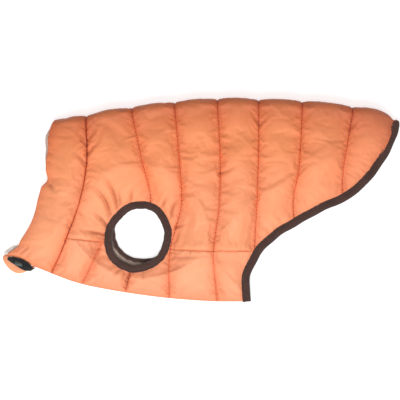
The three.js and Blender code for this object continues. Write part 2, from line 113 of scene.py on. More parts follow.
# Main creases of the upper layer, from the far end to the deep end near a ring or a seam. bow is how far the
# middle stands to the left of that way.
CREASES = table(
    "far near bow depth width",
    ((-133, 22), (-107, -17), 5, 4.5, 6), ((-116, 34), (-99, -8), 3, 4.5, 5),
    ((-99, 14), (-96, -6), 1, 3.0, 4), ((-80, 16), (-83, -1), 0, 3.0, 4),
    ((-41, 6), (-46, -8), 1, 3.0, 4), ((-20, 4), (-35, -19), -4, 4.0, 5),
    ((-129, -14), (-111, -32), 2, 3.5, 4), ((-148, -36), (-114, -42), 1, 4.0, 4),
    ((-131, -42), (-114, -48), 0, 2.5, 4), ((-104, -93), (-96, -83), 1, 2.0, 4),
    ((-94, -98), (-90, -85), 0, 2.0, 4), ((-90, -108), (-85, -87), 1, 4.0, 5),
    ((-68, -96), (-69, -85), 0, 1.5, 4), ((-15, -29), (-32, -35), -2, 1.5, 5),
    ((0, 16), (-20, 7), 3, 1.5, 5), ((47, 44), (23.5, 32), 2, 2.0, 5),
    ((60, 104), (70, 91), 1, 1.5, 4), ((84, 101), (71, 89), -1, 2.0, 4),
    ((190, 98), (178.5, 84), -1, 1.5, 4), ((-117, 92), (-133, 71), -2, 2.0, 5),
    ((-116, 72), (-134, 54), -2, 2.0, 5), ((-152, 86), (-136, 66), 2, 1.8, 5),
    ((-155, 58), (-137, 44), 2, 1.8, 5), ((-170, 8), (-182, 19), -1, 2.5, 4),
    ((-175, 67), (-182, 69), 0, 1.2, 3.5), ((-173, 55), (-182, 57), 1, 1.5, 3.5),
    ((-176, 43), (-183, 46), 0, 1.2, 3.5), ((14, -65), (-33, -69), 1, 1.3, 4),
    ((-206, -50), (-213, -63), 1, 1.5, 4), ((-200, -56), (-207, -69), 1, 1.2, 4),
)


# ---------------- numbers
def mix(a, b, t):
    return a + (b - a) * t


def ease(d, width):
    t = np.clip(np.asarray(d, float) / width, 0, 1)
    return t * t * (3 - 2 * t)


def quarter_round(d, width):
    return np.sqrt(1 - (1 - np.clip(np.asarray(d, float) / width, 0, 1)) ** 2)


def read(rows, place, key, at):
    """A column of a table between its rows, by another column that grows."""
    return np.interp(at, [row[place] for row in rows], [row[key] for row in rows])


def through_knots(knots, t):
    """Cubic through evenly spaced knots, for an array of places."""
    k = np.asarray(knots, float)
    t = np.asarray(t, float)
    i = np.clip(np.floor(t).astype(int), 0, len(k) - 2)
    f = t - i
    k = np.concatenate([[2 * k[0] - k[1]], k, [2 * k[-1] - k[-2]]])
    a, b, c, d = k[i], k[i + 1], k[i + 2], k[i + 3]
    return b + 0.5 * f * (c - a + f * (2 * a - 5 * b + 4 * c - d + f * (3 * (b - c) + d - a)))


def spaced(points, step):
    """The same polyline with points about step apart."""
    points = np.asarray(points, float)
    length = np.concatenate([[0], np.cumsum(np.linalg.norm(np.diff(points, axis=0), axis=1))])
    count = max(int(round(length[-1] / step)), 1)
    at = np.linspace(0, length[-1], count + 1)
    return np.stack([np.interp(at, length, points[:, k]) for k in range(points.shape[1])], axis=1)


def smooth_curve(points, count=400):
    points = np.asarray(points, float)
    t = np.linspace(0, len(points) - 1, count)
    return np.stack([through_knots(points[:, k], t) for k in range(points.shape[1])], axis=1)


def distance_to(poly, x, y):
    best = np.full(np.shape(x), np.inf)
    for (ax, ay), (bx, by) in zip(poly[:-1], poly[1:]):
        dx, dy = bx - ax, by - ay
        t = np.clip(((x - ax) * dx + (y - ay) * dy) / max(dx * dx + dy * dy, 1e-9), 0, 1)
        best = np.minimum(best, np.hypot(x - ax - t * dx, y - ay - t * dy))
    return best


def inside(poly, x, y):
    """Whether each point is inside the closed polygon."""
    found = np.zeros(np.shape(x), bool)
    for (ax, ay), (bx, by) in zip(poly, np.roll(poly, -1, axis=0)):
        if ay == by:
            continue
        crosses = (ay > y) != (by > y)
        found ^= crosses & (x < ax + (y - ay) * (bx - ax) / (by - ay))
    return found


def waves(x, y, size, seed, count=9):
    """Smooth noise between about -1 and 1 whose bumps are about size across."""
    draw = np.random.default_rng(seed)
    total = np.zeros(np.shape(x))
    for _ in range(count):
        angle, phase = draw.uniform(0, 2 * math.pi, 2)
        wave = 2 * math.pi / (size * draw.uniform(1.4, 3.2))
        total += np.sin((x * math.cos(angle) + y * math.sin(angle)) * wave + phase)
    return total / math.sqrt(count)


FOLD_TIGHT = 0.42  # how far the filling is pressed out of the spine fold
FOLD_QUILT = 0.55  # how deep the quilting is there, of its depth elsewhere
FOLD_REACH = 62.0
ABOVE_FOLD = 200.0  # a height past the spine's top, where the lines across run straight
SEAM_PINCH = {"reach": 9.0, "least": 0.62}
BELLY_SHARE = 0.7


# ---------------- the plan
def line_data(s):
    """x and y at the spine, then x and y at the foot, s rows along LINES."""
    ends = [through_knots([line[end][k] for line in LINES], s) for end in ("spine", "foot") for k in (0, 1)]
    return *ends[:3], np.maximum(ends[3], BELLY_LEVEL)


def from_leg(side, x, y):
    leg = LEG[side]
    angle = math.radians(leg["tilt"])
    along = (x - leg["x"]) * math.cos(angle) + (y - leg["y"]) * math.sin(angle)
    across = (y - leg["y"]) * math.cos(angle) - (x - leg["x"]) * math.sin(angle)
    scale = np.maximum(np.hypot(along / leg["long"], across / leg["short"]), 1e-6)
    return (1 - 1 / scale) * np.hypot(along, across)


hem_curve = smooth_curve(HEM)
belly_foot = line_data(np.linspace(0, ROW["belly_corner"], 60))
belly_edge = np.stack([belly_foot[2], belly_foot[3]], axis=1)


def wall_at(side, x, y):
    """(thickness at a crown, height of the wall's middle) at places on one layer."""
    hem = distance_to(hem_curve[::4], x, y) - BINDING["hem"]
    bound = np.minimum(hem, from_leg(side, x, y) - BINDING["leg"])
    neck = distance_to(neck_edge, x, y)
    belly = distance_to(belly_edge, x, y)
    puff = quarter_round(bound, FULL_AT["tape"]) * quarter_round(neck + 2, FULL_AT["neck"])
    puff = puff * quarter_round(belly - 1, FULL_AT["belly"])
    lift = ease(np.minimum(bound, belly - CLOSURE), LIFT_REACH["tape"])
    opening = 1 - ease(neck, LIFT_REACH["neck"])
    full = REST_MID + (LOFT + PARTING if side == "left" else 0)
    mid = mix(BOUND_MID[side], mix(full, OPEN_MID[side], opening), lift)
    return SEAM + (LOFT - SEAM) * puff, mid


def raw_line(row, top):
    line = LINES[row]
    v = np.linspace(0, 1, 80)
    bow = through_knots([0, *line["bow"], 0], v * 4)
    return np.stack([mix(line["spine"][0], line["foot"][0], v) + bow, mix(top, line["foot"][1], v)], axis=1)


neck_edge = raw_line(ROW["neck"], LINES[0]["spine"][1])


def spine_fold():
    """The spine fold along the coat: an arc of some radius round a centre line."""
    spine_x, spine_y, _, _ = line_data(np.linspace(0, len(LINES) - 1, 300))
    wall, upper_mid = wall_at("left", spine_x, spine_y)
    _, lower_mid = wall_at("right", spine_x, spine_y)
    radius = (upper_mid - lower_mid) / 2 * FOLD_TIGHT
    return {
        "x": spine_x,
        "radius": radius,
        "z": (upper_mid + lower_mid) / 2,
        "top": spine_y - radius - wall / 2,
        "arc": (radius + wall / 2) * math.pi / 2,
    }


FOLD = spine_fold()


def fold(name, x):
    return np.interp(x, FOLD["x"], FOLD[name])


line_xy = [raw_line(row, float(fold("top", line["spine"][0]))) for row, line in enumerate(LINES)]


def line_x(row, y):
    """Where a line across the coat passes at each height; above the fold's centre it runs straight."""
    xy = line_xy[row]
    return np.interp(y, xy[::-1, 1], xy[::-1, 0])


def seam_y(x):
    return np.interp(x, *np.array(SIDE_SEAM).T)


def channel(x, y, belly):
    """0 on a stitched line and 1 in the middle of the channel between two."""
    at = np.zeros(np.shape(x))
    for is_belly, chosen in ((False, ~belly), (True, belly)):
        wanted = ("both", "belly" if is_belly else "back")
        rows = [i for i, line in enumerate(LINES) if line["panels"] in wanted]
        value = np.zeros(np.shape(x))
        edges = [line_x(row, y) for row in rows] + ([np.full(np.shape(y), BELLY_END)] if is_belly else [])
        for left, right in zip(edges[:-1], edges[1:]):
            q = (x - left) / np.maximum(right - left, 1e-6)
            here = (q >= 0) & (q <= 1)
            value = np.where(here, np.clip(1 - (2 * q - 1) ** 2, 0, 1) ** CHANNEL_ROUND, value)
        at = np.where(chosen, value, at)
    return at


# ---------------- the unfolded pattern
# A place on the pattern is (x, w): w is 0 along the top of the spine fold, and grows down the upper layer
# and shrinks down the lower one.
def to_pattern(side, x, y):
    w = fold("arc", x) + fold("top", x) - y
    return np.stack([x, w if side == "left" else -w], axis=-1)


def from_pattern(x, w):
    """(side sign, y in the plan, turn round the fold) of pattern places."""
    arc = fold("arc", x)
    past = np.abs(w) - arc
    y = fold("top", x) - np.maximum(past, 0)
    turn = math.pi / 2 - np.clip(w / arc, -1, 1) * math.pi / 2
    return np.where(w >= 0, 1, -1), y, turn


def surface(x, w, face, inset=0.0):
    """Places of the wall's outer face (face 1), middle (0) or inner face (-1), with the outward directions.
    The lining lies inset from the inner face."""
    sign, y, turn = from_pattern(x, w)
    on_fold = np.abs(w) < fold("arc", x)
    flat = ~on_fold & (x > line_x(ROW["collar_seam"], y))
    belly = flat & (y < seam_y(x))
    upper, upper_mid = wall_at("left", x, y)
    lower, lower_mid = wall_at("right", x, y)
    crown = np.where(sign > 0, upper, lower)
    mid = np.where(sign > 0, upper_mid, lower_mid)
    near = np.where(on_fold, 1.0, 1 - ease(fold("top", x) - y, FOLD_REACH))
    dip = mix(SEAM_PINCH["least"], 1, quarter_round(np.abs(y - seam_y(x)), SEAM_PINCH["reach"]))
    pinch = np.where(flat, dip, 1)
    share = mix(1, BELLY_SHARE, ease(seam_y(x) - y + 8, 16) * flat)
    depth = (crown - SEAM) * pinch * share
    hollow = 1 - channel(x, np.where(on_fold, ABOVE_FOLD, y), belly)
    wall = SEAM + depth - depth * hollow * mix(1, FOLD_QUILT, near)
    radius, centre = fold("radius", x), fold("z", x)
    upright = fold("top", x) + (radius + face * wall / 2 - inset) * np.sin(turn)
    flat_z = mix(mid, centre + sign * radius, near)
    parting = mix((upper_mid + lower_mid) / 2, centre, near)
    offset = face * wall / 2
    z = flat_z + sign * offset
    if face < 0:
        z = parting + sign * (np.maximum(PARTING / 2, (z - parting) * sign) - inset)
    ring = radius + offset - inset
    height = np.where(on_fold, upright, y)
    wave = read(NECK_WAVE[::-1], "y", "shift", height)
    past = read(PEEK[::-1], "y", "past", height)
    x_out = x + neck_share(x, y) * np.where(sign < 0, wave - past, wave)
    across, up = np.where(on_fold, np.sin(turn), 0), np.where(on_fold, np.cos(turn), sign)
    out = np.stack([np.zeros_like(x), across, up], axis=-1)
    places = np.stack([x_out, height, np.where(on_fold, centre + ring * np.cos(turn), z)], axis=-1)
    places[:, 2] = np.maximum(places[:, 2], 0.15)
    return places, out


def neck_share(x, y):
    left, right = line_x(ROW["neck"], y), line_x(ROW["collar_seam"], y)
    return ease(1 - (x - left) / (right - left), 1)


def hem_inset(inset):
    along = np.gradient(hem_curve, axis=0)
    along /= np.linalg.norm(along, axis=1)[:, None]
    return hem_curve + inset * np.stack([-along[:, 1], along[:, 0]], axis=1)


RING_WOBBLE = {
    "left": [{"waves": 3, "reach": 0.5, "turn": 0.6}, {"waves": 7, "reach": 0.4, "turn": 2.0}],
    "right": [{"waves": 2, "reach": 0.2, "turn": 2.6}, {"waves": 5, "reach": 0.35, "turn": 0.5}],
}


def leg_ring(side, grow, count=160):
    leg = LEG[side]
    angle = np.linspace(0, 2 * math.pi, count, endpoint=False)
    tilt = math.radians(leg["tilt"])
    flat = np.stack([leg["long"] * np.cos(angle), leg["short"] * np.sin(angle)], axis=1)
    normal = np.stack([np.cos(angle) / leg["long"], np.sin(angle) / leg["short"]], axis=1)
    wobble = sum(row["reach"] * np.sin(row["waves"] * angle + row["turn"]) for row in RING_WOBBLE[side])
    flat += (grow + wobble)[:, None] * normal / np.linalg.norm(normal, axis=1)[:, None]
    turn = np.array([[math.cos(tilt), math.sin(tilt)], [-math.sin(tilt), math.cos(tilt)]])
    return flat @ turn + [leg["x"], leg["y"]]


EDGE_ROOT = BINDING["edge"] + 0.3  # how far inside a tape's outer fold the cloth ends


def half_outline(side):
    """Neck edge, belly edge and hem of one side, on the pattern, from the spine round to the spine."""
    neck = line_xy[ROW["neck"]]
    hem = hem_inset(EDGE_ROOT)
    belly = belly_edge[belly_edge[:, 0] < hem[0, 0] - 1]
    corner = [hem[0, 0], belly[-1, 1]]
    plan = np.concatenate([neck, belly[1:], [corner], hem[2:]])
    return to_pattern(side, plan[:, 0], plan[:, 1])


def pattern_outline():
    left, right = half_outline("left"), half_outline("right")
    return np.concatenate([left, right[::-1]])


def on_cloth(points, outline, holes):
    """Whether each point lies inside the outline and outside the leg openings."""
    kept = inside(outline, *points.T)
    for hole in holes:
        kept &= ~inside(hole, *points.T)
    return kept


def clip_to(poly, outline, holes):
    """The runs of a polyline's points that lie on the cloth."""
    runs, run = [], []
    for point, kept in zip(poly, on_cloth(poly, outline, holes)):
        if kept:
            run.append(point)
        elif run:
            runs.append(np.array(run))
            run = []
    if run:
        runs.append(np.array(run))
    return [r for r in runs if len(r) > 2]


def stitched_lines():
    """Every stitched line on the pattern, as {name: polyline}."""
    found = {}
    for row, line in enumerate(LINES):
        if line["panels"] == "none" or line["name"] in ("neck", "hem"):
            continue
        for side in ("left", "right"):
            xy = line_xy[row]
            if line["panels"] == "belly":
                xy = xy[xy[:, 1] < seam_y(xy[:, 0])]
            if line["name"] == "loin":
                xy = xy[xy[:, 1] > seam_y(xy[:, 0])]
            pattern = to_pattern(side, *xy.T)
            if line["panels"] != "belly":
                pattern = np.concatenate([[[line["spine"][0], 0.0]], pattern])
            found[f'{line["name"]}_{side}'] = pattern
    x = np.linspace(line_x(ROW["collar_seam"], np.array(SEAM_START)), SIDE_SEAM[-1][0], 130)
    for side in ("left", "right"):
        found[f"side_seam_{side}"] = to_pattern(side, x, seam_y(x))
    return found


def crease_line(crease):
    start, end = np.array(crease["far"], float), np.array(crease["near"], float)
    t = np.linspace(0, 1, 30)[:, None]
    along = (end - start) / np.linalg.norm(end - start)
    across = np.array([-along[1], along[0]])
    return mix(start, end, t) + across * crease["bow"] * np.sin(math.pi * t)


# ---------------- meshing the pattern
STEP = {"upper": 1.9, "lower": 3.2}  # the cloth's mesh, in millimetres
UNSEEN = -12.0  # past this place on the pattern the cloth lies on the lower side


def hex_points(low, high, step):
    """Points in staggered rows, a step apart."""
    points = []
    for k, y in enumerate(np.arange(low[1], high[1], step * math.sqrt(3) / 2)):
        x = np.arange(low[0] + (k % 2) * step / 2, high[0], step)
        points.append(np.stack([x, np.full_like(x, y)], axis=1))
    return np.concatenate(points)


def delaunay(coords, edges, near):
    """The places and triangles of a mesh through these points that keeps these edges."""
    result = geometry.delaunay_2d_cdt([Vector(c) for c in coords], edges, [], 0, near, False)
    return np.array([tuple(v) for v in result[0]]), np.array([f for f in result[2] if len(f) == 3])


def triangulated(lines, outline, holes, seed):
    """A triangle mesh of the pattern that follows every given line, coarser on the hidden side."""
    low, high = outline.min(axis=0), outline.max(axis=0)
    lines = [spaced(line, STEP["upper" if line[:, 1].mean() > UNSEEN else "lower"]) for line in lines]
    fixed = np.concatenate(lines)
    tree = kdtree.KDTree(len(fixed))
    for i, (x, w) in enumerate(fixed):
        tree.insert((x, w, 0), i)
    tree.balance()
    points = []
    parts = ((STEP["upper"], UNSEEN, high[1]), (STEP["lower"], low[1], UNSEEN - STEP["lower"] / 2))
    for step, bottom, top in parts:
        patch = hex_points((low[0], bottom), (high[0], top), step)
        patch += np.random.default_rng(seed).normal(0, step * 0.13, patch.shape)
        clear = np.array([tree.find((x, w, 0))[2] > step * 0.62 for x, w in patch])
        points.append(patch[clear])
    points = np.concatenate(points)
    coords, edges = [tuple(p) for p in points[on_cloth(points, outline, holes)]], []
    for run in lines:
        first = len(coords)
        coords += [tuple(p) for p in run]
        edges += [(first + i, first + i + 1) for i in range(len(run) - 1)]
    places, faces = delaunay(coords, edges, 0.2)
    faces = faces[:, ::-1]  # turned over, so that each face looks out of the coat
    faces = faces[on_cloth(places[faces].mean(axis=1), outline, holes)]
    used = np.unique(faces)
    index = np.full(len(places), -1)
    index[used] = np.arange(len(used))
    return places[used], index[faces]


def new_mesh(name, places, faces, smooth=True):
    mesh = bpy.data.meshes.new(name)
    vertices = [tuple(place) for place in np.asarray(places) * MM]
    mesh.from_pydata(vertices, [], [tuple(int(i) for i in face) for face in faces])
    mesh.update()
    if smooth:
        mesh.polygons.foreach_set("use_smooth", [True] * len(mesh.polygons))
    obj = bpy.data.objects.new(name, mesh)
    bpy.context.scene.collection.objects.link(obj)
    return obj


def placed(obj):
    """The object's evaluated vertices, in millimetres."""
    evaluated = obj.evaluated_get(bpy.context.evaluated_depsgraph_get())
    mesh = evaluated.to_mesh()
    flat = np.empty(len(mesh.vertices) * 3)
    mesh.vertices.foreach_get("co", flat)
    evaluated.to_mesh_clear()
    return flat.reshape(-1, 3) / MM


# ---------------- the padded shell
GATHER = {"pitch": 8.5, "reach": 7.0, "height": 1.1}  # the gathers beside the bound edges
FRAMES = 18
MOST_MOVE = 3.2  # how far the filling may move the cloth, in millimetres
CLOTH = {
    "quality": 4, "mass": 0.06, "tension_stiffness": 18.0, "compression_stiffness": 12.0,
    "shear_stiffness": 10.0, "bending_stiffness": 0.07,
    "tension_damping": 8, "compression_damping": 8, "shear_damping": 8,
    "air_damping": 3, "vertex_group_mass": "held", "pin_stiffness": 1, "vertex_group_shrink": "taut",
    "shrink_min": -0.06, "shrink_max": -0.01, "use_pressure": True, "uniform_pressure_force": 6.0,
}


def blown(name, places, faces, hold, gather):
    """The cloth after its filling has pushed it out: hold is each vertex's hold on its place, and gather
    how much longer than its place the cloth is there, both 0 to 1."""
    obj = new_mesh(name, places, faces)
    group = obj.vertex_groups.new(name="held")
    for i, weight in enumerate(hold):
        if weight > 0:
            group.add([i], float(weight), "REPLACE")
    slack = obj.vertex_groups.new(name="taut")
    for i, weight in enumerate(gather):
        slack.add([i], float(1 - weight), "REPLACE")
    cloth = obj.modifiers.new("cloth", "CLOTH")
    for key, value in CLOTH.items():
        setattr(cloth.settings, key, value)
    cloth.settings.effector_weights.gravity = 0
    cloth.collision_settings.use_collision = False
    cloth.collision_settings.use_self_collision = False
    cloth.point_cache.frame_start = 1
    cloth.point_cache.frame_end = FRAMES
    scene = bpy.context.scene
    for number in range(1, FRAMES + 1):
        scene.frame_set(number)
    result = placed(obj)
    scene.frame_set(1)
    mesh = obj.data
    bpy.data.objects.remove(obj)
    bpy.data.meshes.remove(mesh)
    return result


def build_shell():
    """The coat's cloth on its pattern, with each vertex's distance from seams, stitches, edges and tapes."""
    outline = pattern_outline()
    holes = [to_pattern(side, *leg_ring(side, EDGE_ROOT).T) for side in ("left", "right")]
    seams = stitched_lines()
    clipped = lambda polys: [run for poly in polys for run in clip_to(spaced(poly, 1.0), outline, holes)]
    runs = clipped(seams.values())
    stitched = clipped(poly for name, poly in seams.items() if "side" not in name)
    crease_runs = clipped(to_pattern("left", *crease_line(crease).T) for crease in CREASES)
    closed = [np.concatenate([loop, loop[:1]]) for loop in (outline, *holes)]
    pattern, faces = triangulated(closed + runs + crease_runs, outline, holes, 3)
    x, w = pattern.T
    gap_to = lambda lines: np.min([distance_to(line, x, w) for line in lines], axis=0)
    side, y, _ = from_pattern(x, w)
    in_plan = np.abs(w) > fold("arc", x)
    around_leg = np.where(side > 0, from_leg("left", x, y) - BINDING["leg"],
                          from_leg("right", x, y) - BINDING["far_leg"])
    bound = np.minimum(distance_to(hem_curve[::4], x, y) - BINDING["hem"], np.where(in_plan, around_leg, 1e3))
    return {"pattern": pattern, "faces": faces, "stitched": stitched, "seam_gap": gap_to(runs),
            "stitch_gap": gap_to(stitched), "edge_gap": gap_to(closed), "bound": bound}


CREASE_SHADE = 2.4  # how far a crease's painted shade line reaches to either side
SEAM_GATHER = 13.0  # how far the cloth is gathered to either side of a seam
PINNED = {"stitch": 0.1, "tape": 0.8}  # nearer than this to a stitch or a tape, the cloth is held


def crease_drop(x, w):
    """How far the creases pull each place in, how much painted shade they put there, and which places are at
    a bottom.
    """
    drop, dark, bottom = np.zeros(len(x)), np.zeros(len(x)), np.zeros(len(x), bool)
    for crease in CREASES:
        line = to_pattern("left", *crease_line(crease).T)
        low, high = line.min(axis=0) - crease["width"], line.max(axis=0) + crease["width"]
        close = np.flatnonzero((x > low[0]) & (x < high[0]) & (w > low[1]) & (w < high[1]))
        gaps = np.hypot(x[close, None] - line[:, 0], w[close, None] - line[:, 1])
        share = np.argmin(gaps, axis=1) / (len(line) - 1)
        gap = distance_to(line, x[close], w[close])
        strength = ease(share, 0.75) * mix(1, 0.75, ease(share - 0.8, 0.2))
        trough = (1 - ease(gap, crease["width"])) ** 1.5 * strength * crease["depth"]
        drop[close] = np.maximum(drop[close], trough)
        # The painted shade along the crease.
        shade = (1 - ease(gap, CREASE_SHADE)) * strength * min(crease["depth"] / 4, 1)
        dark[close] = np.maximum(dark[close], shade)
        bottom[close] |= (gap < 0.3) & (strength > 0.25)
    return drop, dark, bottom


def edge_puckers(shell):
    """Short gathers square to the bound edges, where the tape holds the cloth shorter than itself."""
    x, w = shell["pattern"].T
    side, y, _ = from_pattern(x, w)
    rise = np.zeros(len(x))
    edges = {"hem": hem_curve[::3], "left": leg_ring("left", 0.0, 240), "right": leg_ring("right", 0.0, 240)}
    for name, line in edges.items():
        near = (shell["bound"] > 0) & (shell["bound"] < 22) & (distance_to(line, x, y) < 32)
        if name != "hem":
            near &= (side > 0) == (name == "left")
        chosen = np.flatnonzero(near)
        gaps = np.hypot(x[chosen, None] - line[:, 0], y[chosen, None] - line[:, 1])
        step = np.linalg.norm(line[1] - line[0])
        along = np.argmin(gaps, axis=1) * step
        drift = waves(along, along * 0, 16, 41)
        ridge = np.sin(2 * math.pi * along / GATHER["pitch"] + 2.2 * drift)
        patch = ease(waves(along, along * 0, 34, 43) + 0.9, 1.6)
        fade = ease(shell["bound"][chosen], 2.5) * np.exp(-shell["bound"][chosen] / GATHER["reach"])
        rise[chosen] = ridge * patch * fade * GATHER["height"]
    return rise


def simulate(shell):
    """The outer face after its filling has pushed it out."""
    x, w = shell["pattern"].T
    start, out = surface(x, w, 1)
    drop, shell["crease"], bottom = crease_drop(x, w)
    start = start - out * drop[:, None]
    held = np.minimum(shell["stitch_gap"], shell["edge_gap"]) < PINNED["stitch"]
    held |= (shell["bound"] < PINNED["tape"]) | bottom
    hold = np.where(held, 1.0, np.where(shell["seam_gap"] < PINNED["stitch"], 0.8, 0.0))
    gather = 1 - ease(shell["seam_gap"], SEAM_GATHER)
    done = blown("filling", start, shell["faces"], hold, gather)
    move = done - start
    size = np.linalg.norm(move, axis=1)[:, None]
    move *= np.minimum(1, MOST_MOVE / np.maximum(size, 1e-9))
    done = start + move + out * edge_puckers(shell)[:, None]
    done[:, 2] = np.maximum(done[:, 2], 0.0)
    return done


# ---------------- closed pieces
def wall_mesh(name, faces, top, bottom):
    """A closed wall: faces at top, the same faces turned over at bottom, and a strip along their edges."""
    used = np.unique(faces)
    index = np.full(len(top), -1)
    index[used] = np.arange(len(used))
    faces, top, bottom = index[faces], top[used], bottom[used]
    n = len(used)
    sides = np.concatenate([faces[:, [0, 1]], faces[:, [1, 2]], faces[:, [2, 0]]])
    border = sides[~np.isin(sides[:, 0] * n + sides[:, 1], sides[:, 1] * n + sides[:, 0])]
    strip = np.stack([border[:, 1], border[:, 0], border[:, 0] + n, border[:, 1] + n], axis=1)
    all_faces = [*faces.tolist(), *(faces[:, ::-1] + n).tolist(), *strip.tolist()]
    return new_mesh(name, np.concatenate([top, bottom]), all_faces)


def grid_mesh(name, rings, closed):
    """A skin through rings of points, capped at both ends where the rings don't close on themselves."""
    count, size = len(rings), len(rings[0])
    faces = []
    for i in range(count if closed else count - 1):
        for j in range(size):
            a, b = i * size, ((i + 1) % count) * size
            faces.append((a + j, a + (j + 1) % size, b + (j + 1) % size, b + j))
    if not closed:
        faces.append(tuple(range(size))[::-1])
        faces.append(tuple((count - 1) * size + j for j in range(size)))
    return new_mesh(name, np.concatenate(rings), faces)


def unit(v):
    return v / np.maximum(np.linalg.norm(v, axis=-1, keepdims=True), 1e-9)


ROLL = 1.6  # the part of a folded tape that turns round the edge
GROOVE = 7.1  # where the stitching pulls it down, on a tape as wide as a leg's


def on_tape(reach, width):
    """A place on a leg's tape, moved to where it lies on a tape of another width."""
    return np.where(reach > ROLL, ROLL + (reach - ROLL) * (width - ROLL) / (BINDING["leg"] - ROLL), reach)


def band(name, edge, inward, normal, width, closed, seed):
    """A flat tape folded round a cloth's edge: edge is the outer fold, inward points into the cloth."""
    half, cloth = BINDING["thick"] / 2, BINDING["cloth"]
    outside = np.array([
        (-BINDING["proud"], 0.0), (-0.35, 1.1), (0.3, 2.0), (ROLL, half),
        (4.2, half * 1.02), (5.6, half * 0.94), (GROOVE - 0.7, half * 0.74), (GROOVE, half * 0.66),
        (GROOVE + 0.7, half * 0.8), (GROOVE + 1.5, half * 0.78), (BINDING["leg"], half * 0.62),
    ])
    outside[:, 0] = on_tape(outside[:, 0], width)
    within = outside + [(cloth, 0)] * (outside[:, :1] < 1) - [(0, cloth)] * (outside[:, :1] >= 1)
    within[-1] = (width, half * 0.62 - cloth * 0.6)
    upper = np.concatenate([outside[::-1], outside[1:] * [1, -1]])
    lower = np.concatenate([within[::-1], within[1:] * [1, -1]])[::-1]
    section = np.concatenate([upper, lower])
    along = np.linspace(0, 900, len(edge))
    sway = waves(along, along * 0, 14, seed)[:, None] * 0.25
    swell = 1 + 0.05 * waves(along, along * 0, 9, seed + 30)
    rings = [
        edge[i] + inward[i] * (section[:, :1] + sway[i]) + normal[i] * section[:, 1:] * swell[i]
        for i in range(len(edge))
    ]
    return grid_mesh(name, rings, closed)


def beads(name, centres, along, up, long, wide):
    """A row of stitches as one mesh, each a small rounded stroke that dips at both ends."""
    sides = 6
    ring = np.linspace(0, 2 * math.pi, sides, endpoint=False)
    stations = [(-0.5, 0.35), (-0.32, 0.85), (0.0, 1.0), (0.32, 0.85), (0.5, 0.35)]
    side = unit(np.cross(up, along))
    n = len(stations) * len(ring)
    places = np.empty((len(centres), n, 3))
    for k, (t, grow) in enumerate(stations):
        for j, angle in enumerate(ring):
            lift = wide / 2 * grow * math.sin(angle) + wide * 0.35 * (grow - 1)
            spread = wide / 2 * grow * math.cos(angle)
            places[:, k * sides + j] = centres + along * t * long + side * spread + up * lift
    faces = [tuple(range(sides))[::-1], tuple(range(n - sides, n))]
    for a in range(0, n - sides, sides):
        for j in range(sides):
            after = (j + 1) % sides
            faces.append((a + j, a + after, a + sides + after, a + sides + j))
    all_faces = [tuple(i + b * n for i in f) for b in range(len(centres)) for f in faces]
    return new_mesh(name, places.reshape(-1, 3), all_faces)


# ---------------- materials
def srgb(r, g, b):
    linear = lambda c: c / 255 / 12.92 if c / 255 <= 0.04045 else ((c / 255 + 0.055) / 1.055) ** 2.4
    return (linear(r), linear(g), linear(b), 1)


WAVE_PITCH = 0.314  # a wave texture of scale 1 repeats this far apart, in metres


class Shader:
    """A small helper that adds nodes and joins them."""

    def __init__(self, name, **values):
        self.material = bpy.data.materials.new(name)
        self.material.use_nodes = True
        self.tree = self.material.node_tree
        self.surface = self.tree.nodes["Principled BSDF"]
        for key, value in values.items():
            self.surface.inputs[key.replace("_", " ")].default_value = value
        self.place = self.tree.nodes.new("ShaderNodeTexCoord").outputs["Object"]

    def node(self, kind, links=None, **values):
        node = self.tree.nodes.new(kind)
        for key, value in values.items():
            setattr(node, key, value)
        for key, value in (links or {}).items():
            if isinstance(value, bpy.types.NodeSocket):
                self.tree.links.new(value, node.inputs[key])
            else:
                node.inputs[key].default_value = value
        return node

    def noise(self, scale, detail=3.0, distortion=0.0, place=None):
        links = {"Vector": place or self.place, "Scale": scale, "Detail": detail, "Distortion": distortion}
        return self.node("ShaderNodeTexNoise", links).outputs["Fac"]

    def mark(self, name):
        """A number that each vertex carries."""
        return self.node("ShaderNodeAttribute", attribute_name=name).outputs["Fac"]

    def math(self, operation, a, b=0.0):
        return self.node("ShaderNodeMath", {0: a, 1: b}, operation=operation).outputs[0]

    def ramp(self, factor, stops):
        node = self.node("ShaderNodeValToRGB", {"Fac": factor})
        elements = node.color_ramp.elements
        while len(elements) < len(stops):
            elements.new(0.5)
        for element, (at, colour) in zip(elements, stops):
            element.position = at
            element.color = colour if isinstance(colour, tuple) else (colour, colour, colour, 1)
        return node.outputs["Color"]

    def blend(self, factor, a, b, mode="MIX"):
        node = self.node("ShaderNodeMix", data_type="RGBA", blend_type=mode)
        for socket, value in ((node.inputs[0], factor), (node.inputs[6], a), (node.inputs[7], b)):
            if isinstance(value, bpy.types.NodeSocket):
                self.tree.links.new(value, socket)
            else:
                socket.default_value = value
        return node.outputs[2]

    def shade(self, base, factor, stops):
        return self.blend(1.0, base, self.ramp(factor, stops), "MULTIPLY")

    def bump(self, height, distance, strength=1.0, below=None):
        links = {"Height": height, "Distance": distance, "Strength": strength}
        if below is not None:
            links["Normal"] = below
        return self.node("ShaderNodeBump", links).outputs["Normal"]

    def weave(self, pitch):
        """Threads both ways, a pitch apart, in the cloth's plane."""
        links = {"Vector": self.place, "Scale": WAVE_PITCH / pitch, "Distortion": 0.6, "Detail": 1.0}
        threads = [self.node("ShaderNodeTexWave", links, bands_direction=way) for way in ("X", "Y")]
        return self.math("MAXIMUM", *(thread.outputs["Fac"] for thread in threads))

    def finish(self, colour, normal):
        self.tree.links.new(colour, self.surface.inputs["Base Color"])
        self.tree.links.new(normal, self.surface.inputs["Normal"])
        return self.material


MARK_REACH = 20.0  # the seam marks, for the gathers and the painted seam shade, grow from 0 on a seam to 1 this far off, in millimetres
SPINE_REACH = 80.0  # and the spine's painted shade mark from the spine
